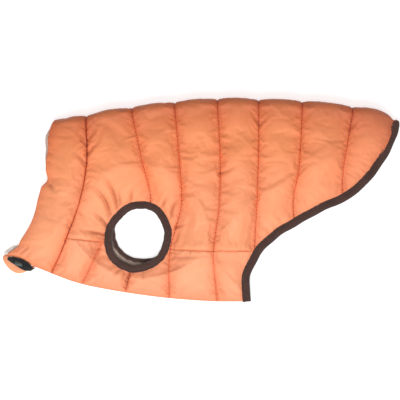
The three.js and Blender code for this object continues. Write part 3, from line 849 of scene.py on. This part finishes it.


def nylon(name, front, tail):
    """Shiny cloth with painted shade at the seams, creases and spine, a paler belly side as painted light,
    and fine gathers beside the seams.
    """
    shader = Shader(name, Roughness=0.52, Sheen_Weight=0.03, Sheen_Roughness=0.4, Specular_IOR_Level=0.22)
    split = shader.node("ShaderNodeSeparateXYZ", {"Vector": shader.place}).outputs
    x, y = split["X"], split["Y"]
    along = shader.math("ADD", shader.math("MULTIPLY", x, 2.1), 0.5)
    base = shader.ramp(along, [(0.0, front), (0.75, front), (1.0, tail)])
    # Painted light: the cloth is blended paler towards the belly side, where the light falls more strongly.
    down = shader.math("ADD", shader.math("MULTIPLY", y, 4.0), 0.5)
    painted_belly_light = shader.ramp(down, [(0.0, 0.38), (0.4, 0.34), (0.75, 0)])
    base = shader.blend(painted_belly_light, base, srgb(252, 182, 146))
    gap = shader.mark("gap")
    # Painted shade: darker and redder towards the stitched seams and the cloth's edges, where their hollows
    # fall in shade.
    base = shader.shade(base, shader.mark("painted_seam_shade"), [
        (0.0, (0.8, 0.44, 0.35, 1)), (0.07, (0.88, 0.66, 0.58, 1)), (0.2, (0.93, 0.79, 0.75, 1)),
        (0.55, (0.98, 0.93, 0.92, 1)), (1.0, 1),
    ])
    # Painted shade: darker towards the spine fold, whose top turns away from the light.
    base = shader.shade(base, shader.mark("spine"), [
        (0.0, (0.68, 0.6, 0.62, 1)), (0.22, (0.72, 0.64, 0.64, 1)), (0.38, (0.86, 0.78, 0.76, 1)), (0.6, 1),
    ])
    # Painted shade: the creases' troughs are blended towards dark red-brown.
    base = shader.blend(shader.mark("crease"), base, (0.5, 0.14, 0.06, 1))
    base = shader.shade(base, shader.noise(45, 2.0), [(0.3, (0.95, 0.93, 0.92, 1)), (0.7, 1)])
    reach = shader.math("MULTIPLY", gap, MARK_REACH * MM)
    slanted = shader.math("SUBTRACT", y, shader.math("MULTIPLY", reach, 0.85))
    drift = shader.math("MULTIPLY", shader.noise(70, 2.0), 0.014)
    turn = shader.math("MULTIPLY", shader.math("ADD", slanted, drift), 480.0)
    ridge = shader.math("POWER", shader.math("ABSOLUTE", shader.math("SINE", turn)), 0.7)
    close = shader.ramp(gap, [(0.0, 0), (0.06, 1), (0.2, 0.6), (0.5, 0)])
    patchy = shader.ramp(shader.noise(55, 1.0), [(0.38, 0.15), (0.62, 1)])
    pucker = shader.math("MULTIPLY", shader.math("MULTIPLY", ridge, close), patchy)
    gathered = shader.bump(pucker, 0.0009, 0.7)
    small = shader.bump(shader.noise(210, 3.0, 0.9), 0.0005, 0.5, gathered)
    fine = shader.bump(shader.noise(620, 2.0, 0.3), 0.00025, 0.5, small)
    woven = shader.bump(shader.weave(0.0006), 0.00006, 0.4, fine)
    return shader.finish(base, woven)


def ribbon(name, dark, light, ribs):
    """A narrow woven tape with ribs, and slightly paler threads."""
    shader = Shader(name, Roughness=0.85, Sheen_Weight=0.3, Sheen_Roughness=0.5, Specular_IOR_Level=0.3)
    fleck = shader.noise(900, 4.0)
    base = shader.ramp(fleck, [(0.3, dark), (0.7, light)])
    base = shader.shade(base, shader.noise(60, 2.0), [(0.35, (0.82, 0.8, 0.8, 1)), (0.7, 1.1)])
    cloth = shader.bump(shader.weave(ribs), 0.00012, 0.8)
    return shader.finish(base, shader.bump(fleck, 0.00015, 0.6, cloth))


def brushed(name, dark, light):
    """Soft cloth with a short nap."""
    shader = Shader(name, Roughness=0.9, Sheen_Weight=0.5, Sheen_Roughness=0.5, Specular_IOR_Level=0.2)
    nap = shader.noise(700, 5.0, 0.5)
    base = shader.ramp(nap, [(0.3, dark), (0.7, light)])
    uneven = shader.bump(shader.noise(160, 2.0), 0.0006, 0.5)
    return shader.finish(base, shader.bump(nap, 0.0003, 0.6, uneven))


def polished(name, colour, roughness):
    shader = Shader(name, Roughness=roughness, Metallic=0.2, Coat_Weight=0.5, Coat_Roughness=0.15)
    # Painted highlight: the colour is mottled up to 1.8 times paler, as glints.
    base = shader.ramp(shader.noise(300, 3.0), [(0.3, colour), (0.8, tuple(min(1, c * 1.8) for c in colour))])
    return shader.finish(base, shader.bump(shader.noise(900, 2.0), 0.00004, 0.4))


def plain(name, colour, glow):
    shader = Shader(name, Roughness=0.9, Specular_IOR_Level=0.1, Emission_Strength=glow)
    shader.surface.inputs["Emission Color"].default_value = colour
    shader.surface.inputs["Base Color"].default_value = colour
    return shader.material


MATERIALS = {
    "shell": nylon("orange_nylon", srgb(250, 152, 101), srgb(243, 146, 104)),
    # A touch paler and pinker than the shell: partly the belly panel's own tint, partly painted light on the
    # brighter belly side.
    "belly": nylon("orange_nylon_belly", srgb(250, 155, 108), srgb(250, 155, 108)),
    "binding": ribbon("brown_binding", srgb(62, 41, 36), srgb(84, 59, 52), 0.0011),
    "lining": brushed("beige_lining", srgb(186, 158, 142), srgb(214, 192, 178)),
    "turned": brushed("pale_lining", srgb(212, 203, 194), srgb(238, 231, 224)),
    "zip": ribbon("black_zip_tape", srgb(18, 20, 21), srgb(40, 43, 44), 0.0008),
    # Painted highlight: the black slider has a grey base colour, mottled paler, standing for its glints.
    "slider": polished("black_slider_painted_glint", srgb(84, 90, 90), 0.22),
    # The quilting stitches' dark rust-red is partly the thread's colour and partly painted shade of the
    # needle holes.
    "thread": ribbon("rust_thread_and_hole_shade", srgb(118, 36, 28), srgb(156, 58, 42), 0.0005),
    "dark_thread": ribbon("brown_thread", srgb(48, 30, 27), srgb(70, 46, 42), 0.0005),
}


def marked(obj, key, values):
    attribute = obj.data.attributes.new(key, "FLOAT", "POINT")
    attribute.data.foreach_set("value", np.clip(values, 0, 1).astype(np.float32))


def dressed(obj, material):
    obj.data.materials.append(MATERIALS[material])
    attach(obj, "root")
    return obj


# ---------------- the coat's pieces
def panels_of(shell):
    """Which faces belong to which cut piece, by where their middles lie, and the middles' x and y."""
    centre = shell["pattern"][shell["faces"]].mean(axis=1)
    side, y, _ = from_pattern(*centre.T)
    x = centre[:, 0]
    collar = x < line_x(ROW["collar_seam"], y)
    belly = ~collar & (y < seam_y(x))
    return {
        "collar": collar,
        "back_panel": ~collar & ~belly,
        "belly_left": belly & (side > 0),
        "belly_right": belly & (side < 0),
    }, x, y


def shell_pieces(shell, outer):
    x, w = shell["pattern"].T
    inner, _ = surface(x, w, -1)
    # Distance to a stitched seam or an edge, which drives the painted seam shade.
    painted_seam_shade = np.minimum(shell["stitch_gap"], shell["edge_gap"] + 1.6)
    marks = {
        "gap": shell["stitch_gap"] / MARK_REACH, "painted_seam_shade": painted_seam_shade / MARK_REACH,
        "crease": shell["crease"], "spine": np.abs(w) / SPINE_REACH,
    }
    for name, chosen in panels_of(shell)[0].items():
        faces = shell["faces"][chosen]
        obj = wall_mesh(f"{name}_shell", faces, outer, inner)
        for key, values in marks.items():
            marked(obj, key, np.tile(values[np.unique(faces)], 2))
        dressed(obj, "belly" if name.startswith("belly") else "shell")
        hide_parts(name)


LINING_TRIM = 4.5  # the lining runs on this far under a leg's tape
# Each lining with the size that the part of it that is built was cut to, in metres.
LININGS = {
    "collar": ("collar_lining", (0.05, 0.39)),
    "back_panel": ("back_lining", (0.105, 0.33)),
    "belly_left": ("belly_lining_left", (0.22, 0.06)),
    "belly_right": ("belly_lining_right", (0.22, 0.06)),
}


def lining_pieces(shell):
    x, w = shell["pattern"].T
    near, _ = surface(x, w, -1, inset=0.15)
    far, _ = surface(x, w, -1, inset=0.5)
    panels, x, y = panels_of(shell)
    under_tape = shell["bound"][shell["faces"]].min(axis=1) < -LINING_TRIM
    shown = (x < line_x(ROW["ribs"], y)) | panels["belly_left"] | panels["belly_right"]
    covered = shown & ~under_tape
    for panel, (name, flat) in LININGS.items():
        faces = shell["faces"][panels[panel] & covered]
        obj = wall_mesh(f"{name}_sheet", faces[:, ::-1], far, near)
        dressed(obj, "lining")
        if panel == "collar":
            turned = pillow("turned_lining", TURNED_LINING, 1.2)
            turned.data.materials.append(MATERIALS["turned"])
            with bpy.context.temp_override(active_object=obj, selected_editable_objects=[obj, turned]):
                bpy.ops.object.join()
        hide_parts(name)


def hem_path():
    """The free edge of the hem in space, from the lower belly corner over the tail to the upper one."""
    left = spaced(hem_curve, 2.0)
    x = np.full(12, hem_curve[-1, 0])
    arc = float(fold("arc", x[0]))
    turn = np.linspace(1, -1, 14)[1:-1] * arc
    path = [to_pattern("left", *left.T), np.stack([x, turn], axis=1), to_pattern("right", *left[::-1].T)]
    return surface(*np.concatenate(path).T, 0)


def binding_pieces():
    """The three folded tapes. Returns each one's edge, with its directions and width, for the stitches."""
    places, out = hem_path()
    along = unit(np.gradient(places, axis=0))
    rows = [("hem_binding", places, unit(np.cross(out, along)), along, out, BINDING["hem"], False, 11)]
    for side, key, seed in (("left", "leg", 13), ("right", "far_leg", 11)):
        places, out = surface(*to_pattern(side, *leg_ring(side, 0.0, 120).T).T, 0)
        middle = np.array([LEG[side]["x"], LEG[side]["y"], 0])
        along = unit(np.roll(places, -1, axis=0) - np.roll(places, 1, axis=0))
        inward = unit(np.cross(out, along))
        inward *= np.sign(((places - middle) * inward * [1, 1, 0]).sum(axis=1))[:, None]
        rows.append((f"leg_binding_{side}", places, inward, along, out, BINDING[key], True, seed))
    for name, places, inward, _, out, width, closed, seed in rows:
        obj = dressed(band(f"{name}_tape", places, inward, out, width, closed, seed), "binding")
        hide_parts(name)
    return [row[1:6] for row in rows]


FLAP = {
    "outline": [
        (-231, -65.6), (-235.5, -65.8), (-238.4, -69), (-237.4, -74), (-234, -79.5), (-229.5, -84.2),
        (-224.5, -87.4), (-219, -88.8), (-212.5, -87.4), (-205.6, -84.2), (-199.5, -80.6), (-204, -79.6),
        (-210, -77.2), (-216, -74.6), (-223, -71.4), (-229, -69.4),
    ],
    "thick": 8.3, "round": 6.0, "low": 0.4,
}
TURNED_LINING = {
    "outline": [
        (-237, -64.6), (-234.6, -61.4), (-231.4, -59.3), (-226.4, -56.2), (-220.4, -54.4), (-213, -54),
        (-213, -58), (-221.4, -59.6), (-229.8, -65), (-233, -66.2),
    ],
    "thick": 3.6, "round": 2.6, "low": 4.6,
}
ZIP_TAPE = table(
    "s inside outside lift",
    (0.0, -2.5, 6.2, 7), (0.1, 0.2, 7.2, 8.5), (0.24, 2, 8.2, 9.6), (0.35, 2, 9.4, 9.6),
    (0.45, 1.2, 9.4, 9), (0.56, -2, 7, 7), (0.6, -2, 3, 3), (0.62, 3, 0, 0),
    (0.8, 10, -3, 0), (5.6, 12, -3, 0),
)
ZIP = {"level": 7.4, "thick": 1.5, "coil": 1.15, "pitch": 1.6}
SLIDER = {"s": 0.27, "long": 9.5, "wide": 5.4, "thick": 2.4}


def pillow(name, plan, step):
    """A rounded flat pad with the given outline."""
    outline = spaced(np.concatenate([smooth_curve(plan["outline"], 160), [plan["outline"][0]]]), step)[:-1]
    low, high = outline.min(axis=0), outline.max(axis=0)
    inner = hex_points(low, high, step)
    ring = np.concatenate([outline, outline[:1]])
    inner = inner[inside(outline, *inner.T) & (distance_to(ring, *inner.T) > step * 0.6)]
    coords = [tuple(c) for c in np.concatenate([outline, inner])]
    n = len(outline)
    places, faces = delaunay(coords, [(i, (i + 1) % n) for i in range(n)], 0.05)
    faces = faces[inside(outline, *places[faces].mean(axis=1).T)]
    rise = quarter_round(distance_to(ring, *places.T) + 0.08, plan["round"])
    ripple = waves(places[:, 0], places[:, 1], 6, 21) * 0.35 * rise
    middle = plan["low"] + plan["thick"] / 2
    top = middle + plan["thick"] / 2 * rise + ripple
    bottom = np.maximum(middle - plan["thick"] / 2 * rise, 0)
    return wall_mesh(name, faces, np.column_stack([places, top]), np.column_stack([places, bottom]))


def belly_point(s, outward):
    """A place off the belly edge, s rows along the coat and outward past the edge."""
    _, _, x, y = line_data(np.atleast_1d(s))
    _, _, x2, y2 = line_data(np.atleast_1d(s) + 0.01)
    ahead = unit(np.stack([x2 - x, y2 - y], axis=1))
    away = np.stack([ahead[:, 1], -ahead[:, 0]], axis=1)
    return np.stack([x, y], axis=1) + away * np.reshape(outward, (-1, 1)), ahead, away


def zip_pieces():
    """The zip's tape with its coil, along the belly edge, and its slider at the neck end."""
    s = np.concatenate([np.linspace(0.0, 0.8, 90), np.linspace(0.83, 5.6, 120)])
    reach_in, reach_out, lift = (read(ZIP_TAPE, "s", key, s) for key in ("inside", "outside", "lift"))
    level = ZIP["level"] + lift
    across = np.linspace(0, 1, 15)
    shown = np.clip(reach_out, 0, 6) / 6
    travel = np.concatenate([[0], np.cumsum(np.linalg.norm(np.diff(belly_point(s, 0)[0], axis=0), axis=1))])
    rings = []
    for i in range(len(s)):
        outward = mix(-reach_in[i], reach_out[i], across)
        plan, _, _ = belly_point(np.full(15, s[i]), outward)
        coil = np.exp(-((outward - mix(-reach_in[i], reach_out[i], 0.5)) / 1.1) ** 2) * ZIP["coil"] * shown[i]
        tooth = 0.75 + 0.25 * math.sin(2 * math.pi * travel[i] / ZIP["pitch"])
        edge = np.sqrt(1 - np.abs(2 * across - 1) ** 8)
        top = level[i] + ZIP["thick"] / 2 * edge + coil * tooth
        bottom = level[i] - ZIP["thick"] / 2 * edge
        upper, lower = np.column_stack([plan, top]), np.column_stack([plan, bottom])
        rings.append(np.concatenate([upper, lower[-2:0:-1]]))
    tape = dressed(grid_mesh("zip_tape_coil", rings, False), "zip")
    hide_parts("zip_tape")
    at, ahead, away = belly_point(SLIDER["s"], 4.6)
    mesh = bmesh.new()
    bmesh.ops.create_cube(mesh, size=1)
    bmesh.ops.scale(mesh, vec=(SLIDER["long"], SLIDER["wide"], SLIDER["thick"]), verts=mesh.verts)
    for vertex in mesh.verts:
        if vertex.co.x > 0:
            vertex.co.y *= 0.6
    neck = bmesh.ops.create_cube(mesh, size=1)["verts"]
    bmesh.ops.scale(mesh, vec=(SLIDER["long"] * 0.5, 1.6, 1.8), verts=neck)
    bmesh.ops.translate(mesh, vec=(-0.6, 0, SLIDER["thick"] * 0.6), verts=neck)
    bmesh.ops.bevel(mesh, geom=mesh.edges[:], offset=0.6, segments=3, affect="EDGES", clamp_overlap=True)
    places = np.array([tuple(v.co) for v in mesh.verts])
    faces = [[v.index for v in f.verts] for f in mesh.faces]
    mesh.free()
    turn = np.array([[*ahead[0], 0], [*away[0], 0], [0, 0, 1]])
    body = places @ turn + [*at[0], np.interp(SLIDER["s"], s, level) + ZIP["thick"] / 2 + 1.3]
    slider = dressed(new_mesh("zip_slider_body", body, faces), "slider")
    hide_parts("zip_slider")


STITCH = {"pitch": 3.9, "long": 2.7, "wide": 1.0, "proud": 0.1, "sunk": 0.4}  # sunk is for the belly's
TAPE_STITCH = {"pitch": 3.4, "long": 2.3, "wide": 0.8, "proud": 0.1}


def stitches(name, rows, size, material):
    """Stitches of this size, from rows of (places, directions along, directions up)."""
    centres, along, up = (np.concatenate(parts) for parts in zip(*rows))
    dressed(beads(name, centres, unit(along), up, size["long"], size["wide"]), material)


def seam_stitches(shell):
    """The quilting's stitches, along every seam but the side seams."""
    rows = []
    for run in shell["stitched"]:
        row = spaced(run, STITCH["pitch"])
        if len(row) < 3:
            continue
        places, out = surface(*row.T, 1)
        _, y, _ = from_pattern(*row.T)
        sunk = np.where(y < seam_y(row[:, 0]), STITCH["sunk"], 0)
        places = places + out * (STITCH["proud"] - sunk)[:, None]
        rows.append((places[1:-1], places[2:] - places[:-2], out[1:-1]))
    stitches("quilting_stitches", rows, STITCH, "thread")


def binding_stitches(edges):
    """The stitches in the grooves of the tapes."""
    rows = []
    for places, inward, along, out, width in edges:
        line = places + inward * on_tape(GROOVE, width)
        count = int(np.linalg.norm(np.diff(line, axis=0), axis=1).sum() / TAPE_STITCH["pitch"])
        at = np.linspace(0, len(line) - 1, count)
        pick = lambda values: np.stack([np.interp(at, range(len(line)), part) for part in values.T], axis=1)
        centres = pick(line) + pick(out) * (BINDING["thick"] / 2 * 0.7 + TAPE_STITCH["proud"])
        rows.append((centres, pick(along), unit(pick(out))))
    stitches("binding_stitches", rows, TAPE_STITCH, "dark_thread")


# ---------------- stage, light and camera
def area_light(name, place, target, size, power):
    data = bpy.data.lights.new(name, "AREA")
    data.shape = "SQUARE"
    data.size = size
    data.energy = power
    light = bpy.data.objects.new(name, data)
    bpy.context.scene.collection.objects.link(light)
    light.location = place
    light.rotation_euler = (Vector(target) - Vector(place)).to_track_quat("-Z", "Y").to_euler()


FLOOR = {"half": 3000, "below": 0.2, "grey": 0.6, "glow": 1.05}
SKY = {"From Min": -1.0, "From Max": 1.0, "To Min": 1.0, "To Max": 0.12}  # bright at the belly's side
SKY_STRENGTH = 0.6
CAMERA = {"lens": 100, "sensor": 36, "wide": 0.48, "aim": 0.015}  # it sees 0.48 m across, at 0.015 m up


def set_stage():
    corners = [(x * FLOOR["half"], y * FLOOR["half"], 0) for x, y in ((-1, -1), (1, -1), (1, 1), (-1, 1))]
    floor = new_mesh("floor", corners, [(0, 1, 2, 3)], False)
    floor.location.z = -FLOOR["below"] * MM
    floor.data.materials.append(plain("white_table", (*[FLOOR["grey"]] * 3, 1), FLOOR["glow"]))
    world = bpy.data.worlds.new("studio")
    world.use_nodes = True
    nodes, links = world.node_tree.nodes, world.node_tree.links
    split = nodes.new("ShaderNodeSeparateXYZ")
    links.new(nodes.new("ShaderNodeTexCoord").outputs["Generated"], split.inputs[0])
    shade = nodes.new("ShaderNodeMapRange")
    links.new(split.outputs["Y"], shade.inputs["Value"])
    for key, value in SKY.items():
        shade.inputs[key].default_value = value
    links.new(shade.outputs[0], nodes["Background"].inputs["Color"])
    nodes["Background"].inputs["Strength"].default_value = SKY_STRENGTH
    bpy.context.scene.world = world
    area_light("key", (-0.12, -0.62, 1.05), (0, -0.05, 0), 0.5, 9)
    area_light("top", (0.0, -0.1, 1.9), (0, 0, 0), 0.7, 9)
    bpy.context.scene.view_settings.view_transform = "Standard"


def set_camera():
    data = bpy.data.cameras.new("camera")
    data.lens = CAMERA["lens"]
    data.sensor_width = CAMERA["sensor"]
    camera = bpy.data.objects.new("camera", data)
    bpy.context.scene.collection.objects.link(camera)
    camera.location = (0, 0, CAMERA["aim"] + CAMERA["wide"] / CAMERA["sensor"] * CAMERA["lens"])
    bpy.context.scene.camera = camera


set_stage()
set_camera()
shell = build_shell()
shell_pieces(shell, simulate(shell))
lining_pieces(shell)
edges = binding_pieces()
flap = dressed(pillow("closure_flap_pad", FLAP, 1.4), "belly")
# The flap gets no painted seam or spine shade.
for key in ("gap", "painted_seam_shade", "spine"):
    marked(flap, key, np.ones(len(flap.data.vertices)))
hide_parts("closure_flap")
zip_pieces()
seam_stitches(shell)
binding_stitches(edges)
